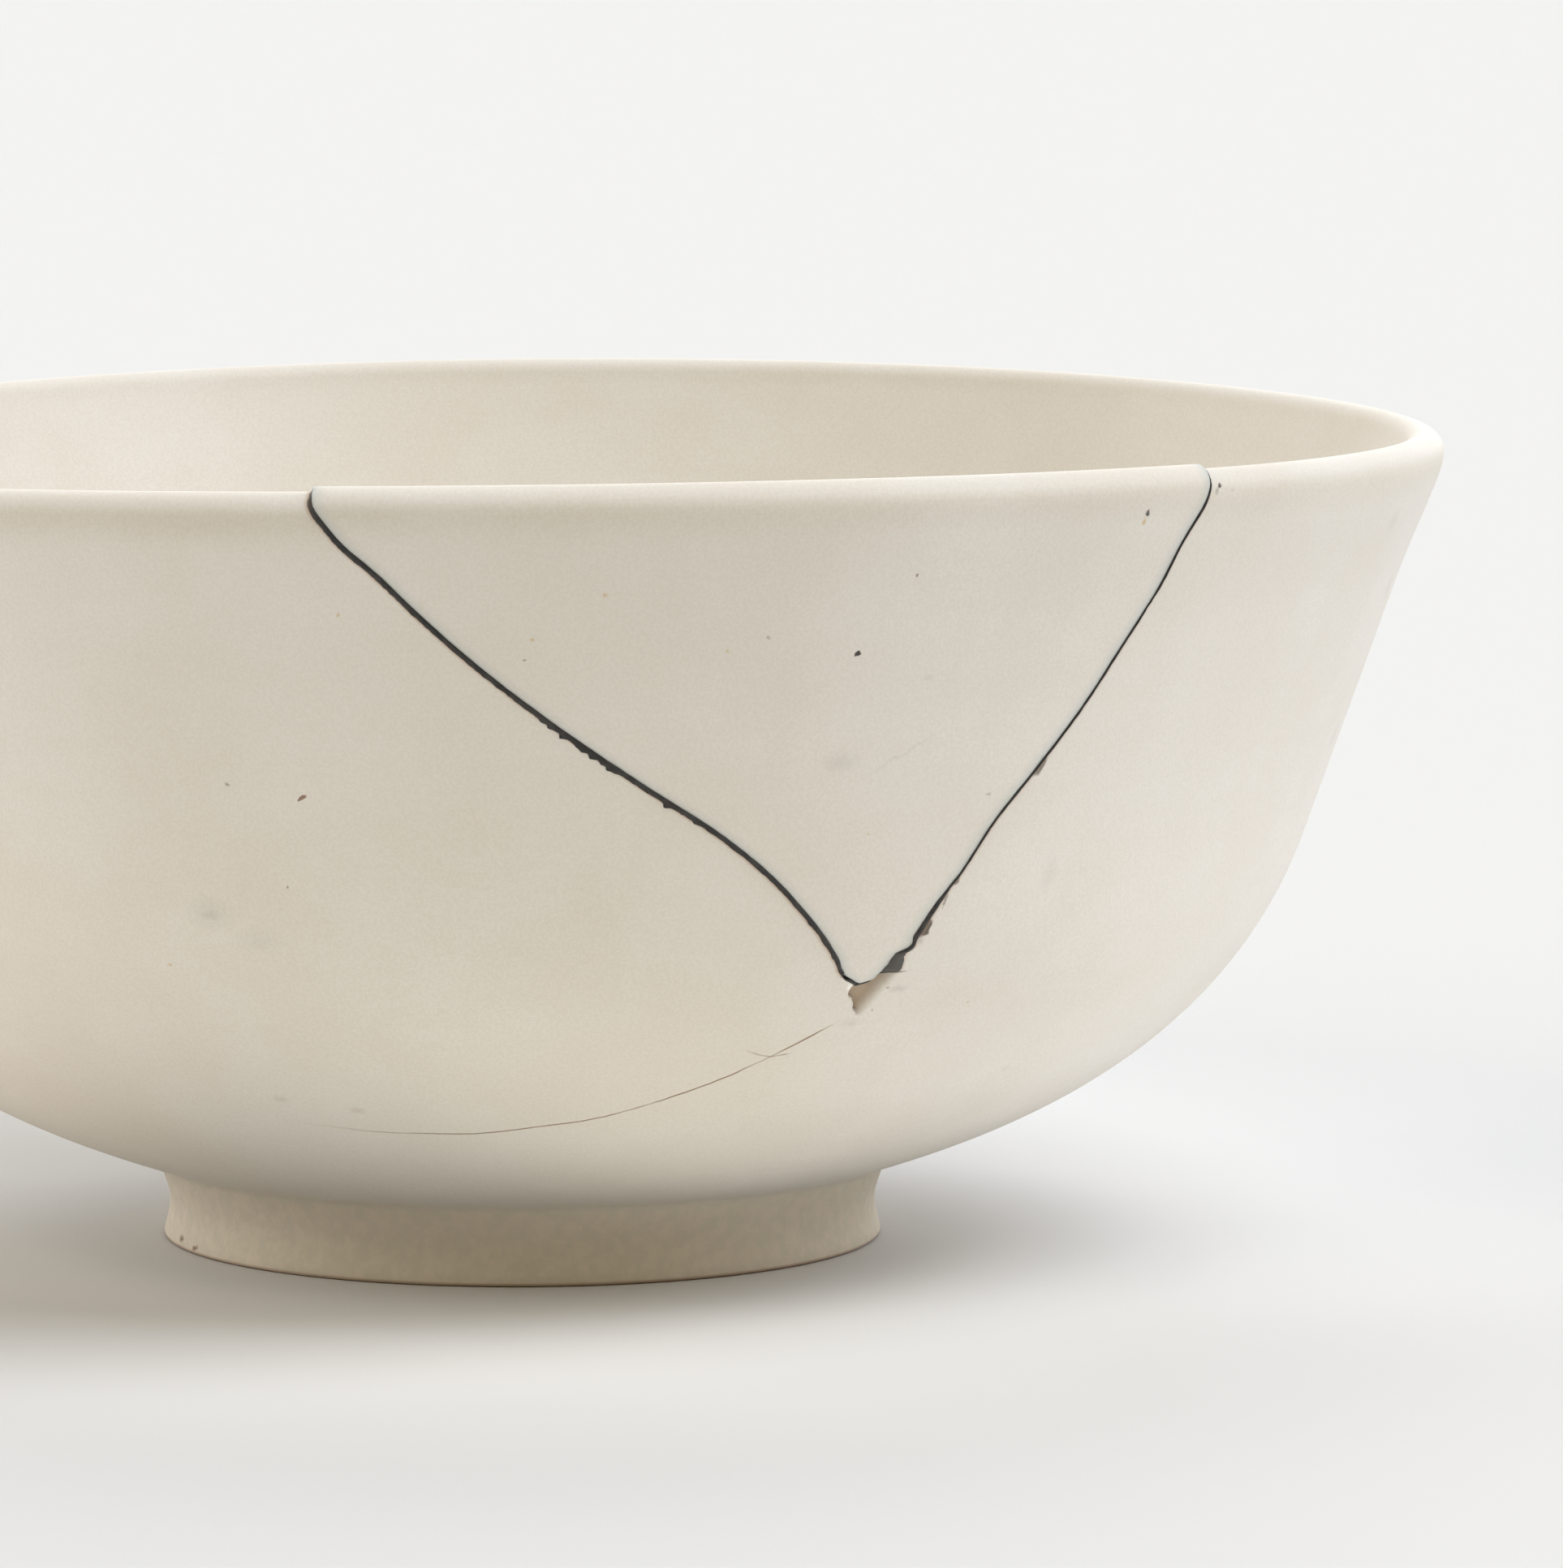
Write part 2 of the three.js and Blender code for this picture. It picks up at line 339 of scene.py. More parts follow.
# Waves of the chip's steep border, as (mm, waves for each mm, start).
CHIP_WAVES = ((0.07, 4.1, 0), (0.04, 9.7, 1))
SKIN_DEPTH = 0.5 * MM


def fade(numbers):
    """A smooth rise from 0 to 1 over the numbers 0 to 1."""
    held = np.clip(numbers, 0, 1)
    return held * held * (3 - 2 * held)


def chip_share(points):
    """How deep each point on the outside lies in the chip, from 0 at its borders to 1, and how far
    it belongs to the facet that stands up in the chip's left corner, which a painted highlight makes pale."""
    radii = np.hypot(points[:, 0], points[:, 1])
    around = (np.arctan2(points[:, 1], points[:, 0]) - FRONT - TIP_ANGLE + math.pi) % math.tau - math.pi
    places = np.stack([around * radii, points[:, 2] - TIP_HEIGHT], axis=1) / MM
    steep_side = (CHIP_POINT - CHIP_LEFT) / np.linalg.norm(CHIP_POINT - CHIP_LEFT)
    slope_side = (CHIP_RIGHT - CHIP_POINT) / np.linalg.norm(CHIP_RIGHT - CHIP_POINT)
    along = (places - CHIP_LEFT) @ steep_side
    from_steep = (places - CHIP_LEFT) @ np.array((-steep_side[1], steep_side[0]))
    for size, waves, start in CHIP_WAVES:
        from_steep = from_steep + size * np.sin(along * waves + start)
    from_slope = (places - CHIP_POINT) @ np.array((-slope_side[1], slope_side[0]))
    share = fade(from_steep / CHIP_STEEP) * fade(from_slope / CHIP_SLOPE)
    share = share * fade((CHIP_TOP - places[:, 1]) / CHIP_STEEP)
    facet = fade(CHIP_FACET_SOFT - np.linalg.norm(places - CHIP_FACET, axis=1) / CHIP_FACET_SIZE)
    facet = facet * fade(from_steep / CHIP_FACET_RIM)
    share = share * (1 - CHIP_FACET_KEPT * facet)
    outside = radii > radius_at(outer_curve, points[:, 2]) - SKIN_DEPTH
    return share * outside, facet * outside


lip_foot = RIM_HEIGHT - LIP_OUTER_ROUND
# Reach of the painted shade band under the lip's outside, above and below the lip's foot.
UNDER_LIP_RISE = 1 * MM
UNDER_LIP_DROP = 3 * MM
# The hairline crack and its short branch, as (degrees round from the front, height in mm).
CRACK = (
    (24.6, 24.7), (23.4, 24.0), (19.8, 21.9), (16.6, 20.2), (12.1, 18.4), (6.5, 16.7), (1.2, 15.9),
    (-4.2, 15.25), (-9.0, 15.2), (-13.0, 15.25), (-16.9, 15.6), (-22.3, 16.0))
CRACK_BRANCH = ((21.0, 21.9), (19.4, 21.75), (16.9, 22.5))
CRACK_REACH = 4 * MM
CRACK_BAND = 12 * MM
CRACK_SAMPLES = 500
CRACK_FADE_LEFT = 0.4
CRACK_FADE_RIGHT = 0.04


def crack_values(points, line):
    """For every point, its distance in mm from a crack, negative below it, and whether the crack
    is near enough to show there, from 0 to 1."""
    places = np.array(line[::-1], float)
    course = smooth_curve(places)
    degrees = np.linspace(places[0, 0], places[-1, 0], CRACK_SAMPLES)
    heights = np.array([course(d) for d in degrees]) * MM
    radii = radius_at(outer_curve, heights)
    turns = FRONT + np.radians(degrees)
    curve = np.stack([radii * np.cos(turns), radii * np.sin(turns), heights], axis=1)
    gaps = np.full(len(points), CRACK_REACH)
    shown = np.zeros(len(points))
    along = np.linspace(0, 1, len(curve))
    ends = fade(along / CRACK_FADE_LEFT) * fade((1 - along) / CRACK_FADE_RIGHT)
    near = np.where(points[:, 1] < 0)[0]
    near = near[np.abs(points[near, 2] - heights.mean()) < CRACK_BAND]
    for i in near:
        distances = np.linalg.norm(curve - points[i], axis=1)
        k = int(distances.argmin())
        gaps[i] = math.copysign(min(distances[k], CRACK_REACH), points[i, 2] - heights[k])
        shown[i] = ends[k] * (distances[k] < CRACK_REACH)
    return gaps / MM, shown


def inside_share(points):
    """How far each point lies through the wall, from 0 on the outside to 1 on the inside."""
    radii = np.hypot(points[:, 0], points[:, 1])
    outer = radius_at(outer_curve, points[:, 2])
    through = (outer - radii) / (outer - radius_at(inner_curve, points[:, 2]))
    return fade(through) * (points[:, 2] > FOOT_TOP.z)


def under_lip_shade_share(points):
    """How far each point lies in the band under the lip's outside that is darkened with painted shade, from
    0 to 1.
    """
    above = points[:, 2] - lip_foot
    near = fade(1 - np.where(above > 0, above / UNDER_LIP_RISE, -above / UNDER_LIP_DROP))
    return near * (1 - inside_share(points))


def edge_gap(points, line):
    """Distance in mm along the wall from a broken edge, for points on the outside."""
    radii = np.hypot(points[:, 0], points[:, 1])
    around = np.arctan2(points[:, 1], points[:, 0]) - FRONT - line(points[:, 2])
    around = (around + math.pi) % math.tau - math.pi
    return np.abs(around) * radii / MM


body_right = edge_line(right_line, BODY_DROP, BODY_SHIFTS_RIGHT, BODY_ROUGHNESS_RIGHT, 3.0)
body_left = edge_line(left_line, BODY_DROP, BODY_SHIFTS_LEFT, BODY_ROUGHNESS_LEFT, 7.0)
body_rungs = steps(LOWEST_RUNG, tip_of_body, CHIP_ROW_STEP)
body_rungs += steps(tip_of_body, TIP_ROWS_END, TIP_ROW_STEP)[1:]
body_rungs += steps(TIP_ROWS_END, lip_foot, RUNG_STEP)[1:]

body_mesh = bmesh.new()
outer_rungs, inner_rungs = wall_section(body_mesh, body_rungs)
lower_verts = [body_mesh.verts.new((r, 0, z)) for r, z in lower_outline()]
body_mesh.faces.new([inner_rungs[0]] + lower_verts + [outer_rungs[0]])
body_start, body_last = spin_section(body_mesh, BODY_COLUMNS)
open_below(body_mesh, body_start + body_last, tip_of_body)
fan_out(body_mesh, body_right, lambda z: body_left(z) + math.tau, BODY_CROWDING)
merge(body_mesh)

body_points = read_points(body_mesh)
chip, chip_facet_highlight = chip_share(body_points)
crack, crack_shown = crack_values(body_points, CRACK)
branch, branch_shown = crack_values(body_points, CRACK_BRANCH)
above_tip = body_points[:, 2] > tip_of_body
WARM_EDGE_WIDTH = 0.3
WARM_EDGE_RIGHT = 0.8
warm_left = fade(1 - edge_gap(body_points, body_left) / WARM_EDGE_WIDTH)
warm_right = WARM_EDGE_RIGHT * fade(1 - edge_gap(body_points, body_right) / WARM_EDGE_WIDTH)
warm_edge = np.maximum(warm_left, warm_right) * above_tip
place_points(body_mesh, warp(push(body_points, chip * CHIP_DEPTH)))

clay = bpy.data.materials.new("clay")
clay.use_nodes = True
CLAY_PALE = (0.745, 0.718, 0.675, 1)
CLAY_WARM = (0.712, 0.675, 0.618, 1)
CLAY_GRAIN = (0.95, 0.945, 0.93, 1)
# Painted shade: a darker band under the lip's outside, where the flaring wall turns down.
UNDER_LIP_SHADE = (0.93, 0.917, 0.885, 1)
CLAY_FOOT = (0.76, 0.67, 0.54, 1)
CLAY_FOOT_OLIVE = (0.68, 0.62, 0.495, 1)
FOOT_LINE = (0.42, 0.31, 0.23, 1)
# Brown laid into the chip, strongest where the chip is deepest: the broken clay's colour together with
# painted shade in the recess.
CHIP_SHADE_BROWN = (0.37, 0.275, 0.185, 1)
# Painted highlight: the facet in the chip's left corner is painted near white, as if catching the light.
FACET_HIGHLIGHT = (0.97, 0.95, 0.89, 1)
CRACK_BROWN = (0.27, 0.195, 0.125, 1)
EDGE_BROWN = (0.42, 0.27, 0.17, 1)
EDGE_BLUE = (0.42, 0.485, 0.5, 1)
IRON = (0.03, 0.025, 0.022, 1)
RUST = (0.20, 0.10, 0.05, 1)
OCHRE = (0.58, 0.43, 0.2, 1)
SMUDGE = (0.40, 0.385, 0.35, 1)
SMEAR = (0.14, 0.12, 0.10, 1)
CRACK_WIDTH = 0.16
CRACK_WAVER = 0.16
BRANCH_WIDTH = 0.128
# Scales of the noise patterns, in waves for each metre.
CLOUDS = 45
THROWING_LINES = 70
THROWING_STRETCH = (1, 1, 9)
EGGSHELL = 1700
SPECKLES = 4200
FOOT_PATCHES = 900
CRACK_WAVES = 700
CRACK_BREAKS = 260
MARK_WANDER = 1500
MARK_STRAY = 0.6 * MM
CLAY_ROUGHNESS = 0.78
CLAY_SHINE = 0.25
BUMP_STRENGTH = 0.25
BUMP_DEPTH = 0.06 * MM
THROWING_RELIEF = 1.5
WARM_EDGE_STRENGTH = 0.8
COOL_EDGE_STRENGTH = 0.6
CHIP_SHADE_STRENGTH = 0.85
FOOT_STAIN_TOP = 7.2 * MM
FOOT_STAIN_FULL = 5.6 * MM
FOOT_LINE_TOP = 0.45 * MM
FOOT_LINE_FULL = 0.1 * MM
# Marks on the clay, as degrees round from the front, height, width, tallness, tilt in degrees,
# colour, strength and how hard its edge is. Lengths in mm.
MARKS = (
    (20.75, 53.48, 0.6, 0.5, 0, IRON, 0.95, 3), (39.31, 63.23, 0.55, 0.65, 0, IRON, 0.85, 3),
    (39.2, 62.6, 0.4, 1.0, 0, OCHRE, 0.8, 2), (45.25, 65.0, 0.4, 0.75, -30, IRON, 0.85, 3),
    (44.95, 64.55, 0.6, 1.1, -30, SMEAR, 0.45, 1.5), (46.3, 64.6, 0.7, 0.25, 0, SMUDGE, 0.27, 2),
    (23.8, 59.3, 0.4, 0.4, 0, RUST, 0.7, 2), (4.9, 58.4, 0.4, 0.4, 0, OCHRE, 0.6, 2),
    (-10.9, 57.0, 0.4, 0.4, 0, OCHRE, 0.6, 2), (0.6, 55.1, 0.5, 0.4, 0, OCHRE, 0.6, 2),
    (12.4, 54.0, 0.4, 0.4, 0, OCHRE, 0.6, 2), (14.9, 55.0, 0.35, 0.35, 0, RUST, 0.35, 2),
    (0.1, 53.55, 0.3, 0.3, 0, SMEAR, 0.6, 2), (-14.3, 42.9, 1.0, 0.35, 40, RUST, 0.85, 3),
    (-19.2, 43.9, 0.5, 0.5, 0, SMEAR, 0.55, 2), (20.6, 45.15, 4.0, 2.2, 0, SMUDGE, 0.23, 1),
    (25.8, 51.4, 1.2, 0.7, 0, SMUDGE, 0.23, 1), (24.9, 45.6, 8.6, 0.3, 30, SMUDGE, 0.23, 1),
    (-21.7, 33.6, 4.6, 3.6, 0, SMUDGE, 0.22, 1), (-21.6, 33.4, 2.0, 0.9, 0, SMEAR, 0.12, 1),
    (-18.4, 31.6, 5.0, 2.6, 0, SMUDGE, 0.16, 1), (-15.9, 35.9, 0.35, 0.35, 0, SMEAR, 0.6, 2),
    (-9.0, 64.5, 0.22, 0.3, 0, SMEAR, 0.6, 2), (-12.0, 64.2, 0.2, 0.2, 0, SMEAR, 0.5, 2),
    (38.9, 35.2, 1.8, 6.5, 0, SMUDGE, 0.18, 1), (-14.0, 17.25, 1.7, 1.0, 0, RUST, 0.2, 1),
    (-20.5, 18.05, 1.5, 0.9, 0, RUST, 0.22, 1), (-25.6, 29.2, 0.35, 0.35, 0, OCHRE, 0.6, 2),
    (44.5, 18.7, 1.2, 0.6, 0, SMUDGE, 0.27, 1), (32.0, 42.1, 0.5, 0.4, 0, SMEAR, 0.3, 2),
    (23.4, 39.5, 0.35, 0.35, 0, OCHRE, 0.5, 2), (35.1, 25.2, 0.35, 0.35, 0, OCHRE, 0.6, 2),
    (77.4, 54.4, 4.0, 3.0, 0, SMUDGE, 0.18, 1), (69.2, 60.4, 3.0, 2.2, 0, SMUDGE, 0.18, 1),
    (77.0, 42.4, 4.0, 3.0, 0, SMUDGE, 0.18, 1), (35.75, 44.0, 0.9, 2.2, -35, SMEAR, 0.85, 2.5),
    (30.85, 35.3, 0.6, 1.1, -35, SMEAR, 0.8, 2), (30.25, 33.8, 0.35, 2.6, -15, SMEAR, 0.6, 2),
    (29.15, 31.75, 1.1, 2.0, -30, SMEAR, 1.0, 4), (28.95, 30.8, 0.8, 1.2, 0, SMEAR, 0.35, 1),
    (28.3, 26.9, 2.2, 0.8, 0, SMUDGE, 0.36, 1), (27.35, 27.05, 0.4, 0.25, 0, RUST, 0.6, 2),
    (25.3, 24.25, 2.2, 0.9, 0, SMUDGE, 0.25, 1), (26.8, 25.2, 0.3, 0.3, 0, SMEAR, 0.5, 2),
    (-71.0, 0.9, 1.7, 0.8, 0, RUST, 0.8, 2), (-64.5, 0.6, 1.6, 0.7, 0, RUST, 0.8, 2))


def add_node(tree, kind, inputs, **settings):
    """A shader node with its settings and its inputs, each a value or another node's output."""
    made = tree.nodes.new("ShaderNode" + kind)
    for name, value in settings.items():
        setattr(made, name, value)
    for name, value in inputs.items():
        if isinstance(value, bpy.types.NodeSocket):
            tree.links.new(value, made.inputs[name])
        else:
            made.inputs[name].default_value = value
    return made


def blend(tree, share, under, over, way="MIX"):
    mixer = add_node(tree, "Mix", {0: share, 6: under, 7: over}, data_type="RGBA", blend_type=way)
    return mixer.outputs[2]


def ramp(tree, value, low, high, bottom=0.0, top=1.0):
    limits = {"Value": value, "From Min": low, "From Max": high, "To Min": bottom, "To Max": top}
    return add_node(tree, "MapRange", limits, interpolation_type="SMOOTHSTEP").outputs["Result"]


def noise_value(tree, place, scale, detail):
    inputs = {"Vector": place, "Scale": scale, "Detail": detail, "Roughness": 0.6}
    return add_node(tree, "TexNoise", inputs).outputs["Fac"]


def calculate(tree, operation, first, second, **settings):
    return add_node(tree, "Math", {0: first, 1: second}, operation=operation, **settings).outputs[0]


def attribute(tree, name):
    return add_node(tree, "Attribute", {}, attribute_name=name).outputs["Fac"]


def crack_line(tree, place, name, width):
    """Where a crack's thin dark line shows, with a wavering course and width."""
    waver = noise_value(tree, place, CRACK_WAVES, 2)
    course = calculate(tree, "MULTIPLY_ADD", waver, CRACK_WAVER)
    course.node.inputs[2].default_value = -CRACK_WAVER / 2
    gap = calculate(tree, "ABSOLUTE", calculate(tree, "ADD", attribute(tree, name), course), 0.0)
    line = ramp(tree, gap, width * 0.75, width * 0.25)
    broken = ramp(tree, noise_value(tree, place, CRACK_BREAKS, 2), 0.3, 0.5, 0.45, 1.0)
    shown = calculate(tree, "MULTIPLY", attribute(tree, name + "_shown"), broken)
    return calculate(tree, "MULTIPLY", line, shown)


def mark_spots(tree, place, colour):
    """Lays every mark over a colour."""
    frames = {}
    for degrees, height, width, tallness, tilt, tint, strength, hardness in MARKS:
        if tilt not in frames:
            turned = {"Vector": place, "Angle": math.radians(tilt)}
            spun = add_node(tree, "VectorRotate", turned, rotation_type="Y_AXIS")
            frames[tilt] = spun.outputs["Vector"]
        turn = FRONT + math.radians(degrees)
        radius = float(radius_at(outer_curve, height * MM))
        spot = np.array([(radius * math.cos(turn), radius * math.sin(turn), height * MM)])
        centre = Matrix.Rotation(math.radians(tilt), 3, "Y") @ Vector(warp(spot)[0])
        spread = Vector((2 / width, 2 / width, 2 / tallness)) / MM
        offset = Vector([-c * s for c, s in zip(centre, spread)])
        scaled = {0: frames[tilt], 1: spread, 2: offset}
        moved = add_node(tree, "VectorMath", scaled, operation="MULTIPLY_ADD")
        round_spot = add_node(tree, "TexGradient", {"Vector": moved.outputs[0]}, gradient_type="SPHERICAL")
        solid_spot = calculate(tree, "MULTIPLY", round_spot.outputs["Fac"], hardness, use_clamp=True)
        share = calculate(tree, "MULTIPLY", solid_spot, strength)
        colour = blend(tree, share, colour, tint)
    return colour


tree = clay.node_tree
place = add_node(tree, "TexCoord", {}).outputs["Object"]
height = add_node(tree, "SeparateXYZ", {"Vector": place}).outputs["Z"]
flow = add_node(tree, "Mapping", {"Vector": place, "Scale": THROWING_STRETCH}).outputs["Vector"]
colour = blend(tree, ramp(tree, noise_value(tree, place, CLOUDS, 3), 0.35, 0.68), CLAY_PALE, CLAY_WARM)
throwing = ramp(tree, noise_value(tree, flow, THROWING_LINES, 3), 0.3, 0.7, 0.0, 0.25)
colour = blend(tree, throwing, colour, CLAY_WARM)
grain = noise_value(tree, place, EGGSHELL, 3)
colour = blend(tree, ramp(tree, grain, 0.35, 0.75, 0.0, 0.22), colour, CLAY_WARM)
# Painted shade in the band under the lip's outside.
colour = blend(tree, attribute(tree, "under_lip_shade"), colour, UNDER_LIP_SHADE, "MULTIPLY")
speckle = noise_value(tree, place, SPECKLES, 2)
colour = blend(tree, ramp(tree, speckle, 0.35, 0.65), colour, CLAY_GRAIN, "MULTIPLY")
foot_patch = ramp(tree, noise_value(tree, place, FOOT_PATCHES, 4), 0.36, 0.62)
foot_colour = blend(tree, foot_patch, CLAY_FOOT, CLAY_FOOT_OLIVE)
foot_share = ramp(tree, height, FOOT_STAIN_TOP, FOOT_STAIN_FULL, 0.0, 0.8)
colour = blend(tree, foot_share, colour, foot_colour)
colour = blend(tree, ramp(tree, height, FOOT_LINE_TOP, FOOT_LINE_FULL), colour, FOOT_LINE)
wandering = add_node(tree, "TexNoise", {"Vector": place, "Scale": MARK_WANDER, "Detail": 2})
unsure = {0: wandering.outputs["Color"], 1: (0.5, 0.5, 0.5)}
unsure = add_node(tree, "VectorMath", unsure, operation="SUBTRACT").outputs[0]
strayed = {0: unsure, 1: (MARK_STRAY, MARK_STRAY, MARK_STRAY), 2: place}
strayed = add_node(tree, "VectorMath", strayed, operation="MULTIPLY_ADD")
colour = mark_spots(tree, strayed.outputs[0], colour)
colour = blend(tree, crack_line(tree, place, "crack", CRACK_WIDTH), colour, CRACK_BROWN)
colour = blend(tree, crack_line(tree, place, "branch", BRANCH_WIDTH), colour, CRACK_BROWN)
# The chip's brown follows its depth: partly the broken clay's colour, partly painted shade in the recess.
for name, strength, tint in (("warm_edge", WARM_EDGE_STRENGTH, EDGE_BROWN),
                             ("cool_edge", COOL_EDGE_STRENGTH, EDGE_BLUE),
                             ("chip", CHIP_SHADE_STRENGTH, CHIP_SHADE_BROWN)):
    colour = blend(tree, calculate(tree, "MULTIPLY", attribute(tree, name), strength), colour, tint)
# Painted highlight on the facet in the chip's left corner.
colour = blend(tree, attribute(tree, "chip_facet_highlight"), colour, FACET_HIGHLIGHT)
shader = tree.nodes["Principled BSDF"]
tree.links.new(colour, shader.inputs["Base Color"])
shader.inputs["Roughness"].default_value = CLAY_ROUGHNESS
shader.inputs["Specular IOR Level"].default_value = CLAY_SHINE
relief = calculate(tree, "ADD", grain, calculate(tree, "MULTIPLY", throwing, THROWING_RELIEF))
bumps = add_node(tree, "Bump", {"Height": relief, "Strength": BUMP_STRENGTH, "Distance": BUMP_DEPTH})
tree.links.new(bumps.outputs["Normal"], shader.inputs["Normal"])

bowl_body = finish_piece("bowl_body_dressed", body_mesh, clay, {
    "chip": chip, "chip_facet_highlight": chip_facet_highlight, "crack": crack, "crack_shown": crack_shown,
    "branch": branch, "branch_shown": branch_shown, "warm_edge": warm_edge,
    "under_lip_shade": under_lip_shade_share(body_points)})
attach(bowl_body, "root")
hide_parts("bowl_body")

# The sherd that broke out of the rim, of the same clay. It was glued back a little high, so that
# its lip stands above the bowl's, and its edges have a cool grey bloom from the adhesive.
SHERD_COLUMNS = 110
SHERD_CROWDING = 0.8
SHERD_DROP = -0.15 * MM
SHERD_SHIFTS_LEFT = ((27.4, 0), (28.2, 0.05), (30, 0.1), (67, 0.1))
SHERD_SHIFTS_RIGHT = ((27.4, 0), (67, 0))
SHERD_ROUGHNESS = 0.04 * MM
SHERD_LIFT = 0.4 * MM
SHERD_FACING = math.radians(18)
SHERD_OUT = SHERD_LIFT * math.tan(WALL_LEAN)
COOL_EDGE_WIDTH = 1.3
COOL_LINE_WIDTH = 0.35
COOL_LINE_SHARE = 0.45
lift = np.array((SHERD_OUT * math.sin(SHERD_FACING), -SHERD_OUT * math.cos(SHERD_FACING), SHERD_LIFT))

sherd_drop = SHERD_DROP + SHERD_LIFT
sherd_left = edge_line(left_line, sherd_drop, SHERD_SHIFTS_LEFT, SHERD_ROUGHNESS, 11.0)
sherd_right = edge_line(right_line, sherd_drop, SHERD_SHIFTS_RIGHT, SHERD_ROUGHNESS, 13.0)
tip_of_sherd = TIP_HEIGHT - sherd_drop
sherd_rungs = steps(tip_of_sherd, TIP_ROWS_END, TIP_ROW_STEP)
sherd_rungs += steps(TIP_ROWS_END, lip_foot, RUNG_STEP)[1:]

sherd_mesh = bmesh.new()
wall_section(sherd_mesh, sherd_rungs)
spin_section(sherd_mesh, SHERD_COLUMNS)
fan_out(sherd_mesh, sherd_left, sherd_right, SHERD_CROWDING)
merge(sherd_mesh)
sherd_points = read_points(sherd_mesh)
sherd_gap = np.minimum(edge_gap(sherd_points, sherd_left), edge_gap(sherd_points, sherd_right))
cool_edge = (1 - COOL_LINE_SHARE) * fade(1 - sherd_gap / COOL_EDGE_WIDTH)
cool_edge += COOL_LINE_SHARE * fade(1 - sherd_gap / COOL_LINE_WIDTH)
place_points(sherd_mesh, warp(sherd_points) + lift)
rim_sherd = finish_piece("rim_sherd_dressed", sherd_mesh, clay, {
    "cool_edge": cool_edge, "under_lip_shade": under_lip_shade_share(sherd_points)})
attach(rim_sherd, "root")
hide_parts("rim_sherd")

# The adhesive in the break, one V-shaped band through the wall. It dried nearly black, was squeezed
# out in small crumbs over the left edge, and fills a lost corner of the right edge near the tip.
GLUE_COLUMNS = 8
GLUE_ROW_STEP = 0.08 * MM
GLUE_BULGE = 0.1 * MM
GLUE_FILM = 0.05 * MM
GLUE_LAP = 0.025
# Crumbs on the left edge, as (height in mm, mm that they reach over the body).
CRUMBS = (
    (48.9, 0.1), (48.4, 0.16), (47.7, 0.24), (46.9, 0.12), (46.6, 0.2), (46.1, 0.25), (45.6, 0.16),
    (45.2, 0.3), (44.9, 0.15), (42.25, 0.28), (40.8, 0.1))
CRUMB_SIZE = 0.15
CRUMB_HANG = 0.5
GLUE_RAGGED = 0.05
CRUMBLY_FROM = 41.5
CRUMBLY_TO = 50
CRUMBLY_SWELL = 1.5
GLUE_GRAIN = 1600
GLUE_ROUGHNESS = 0.05 * MM
GLUE_IN_CHIP = 0.85
RISE_FROM = 63 * MM
# Heights in mm of the grey patch on the right and of the brown stain below the rim on the left.
PATCH_LOW = 28.1
PATCH_HIGH = 30.1
PATCH_FADE = 0.3
BROWN_FROM = 65.0
BROWN_FADE = 0.8
BROWN_SHARE = 0.5

glue_sherd_left = edge_line(left_line, SHERD_DROP, SHERD_SHIFTS_LEFT, SHERD_ROUGHNESS, 11.0)
glue_sherd_right = edge_line(right_line, SHERD_DROP, SHERD_SHIFTS_RIGHT, SHERD_ROUGHNESS, 13.0)
glue_tip = TIP_HEIGHT - SHERD_DROP
glue_rungs = steps(tip_of_body, glue_tip, TIP_ROW_STEP / 2)
glue_rungs += steps(glue_tip, lip_foot, GLUE_ROW_STEP)[1:]


def lap_over(height):
    """How far in mm the adhesive reaches over the body's left edge at a height in mm."""
    reach = GLUE_LAP + sum(size * math.exp(-((height - place) / CRUMB_SIZE) ** 2) for place, size in CRUMBS)
    ragged = noise.noise(Vector((height * 2.9, 2, 9))) + 0.7 * noise.noise(Vector((height * 6.3, 4, 1)))
    if CRUMBLY_FROM < height < CRUMBLY_TO:
        ragged = CRUMBLY_SWELL * abs(ragged)
    return reach + GLUE_RAGGED * ragged


def risen(heights):
    """Heights on the adhesive's sherd side, which follows the sherd's lip up."""
    return heights + SHERD_LIFT * fade((heights - RISE_FROM) / (lip_foot - RISE_FROM))


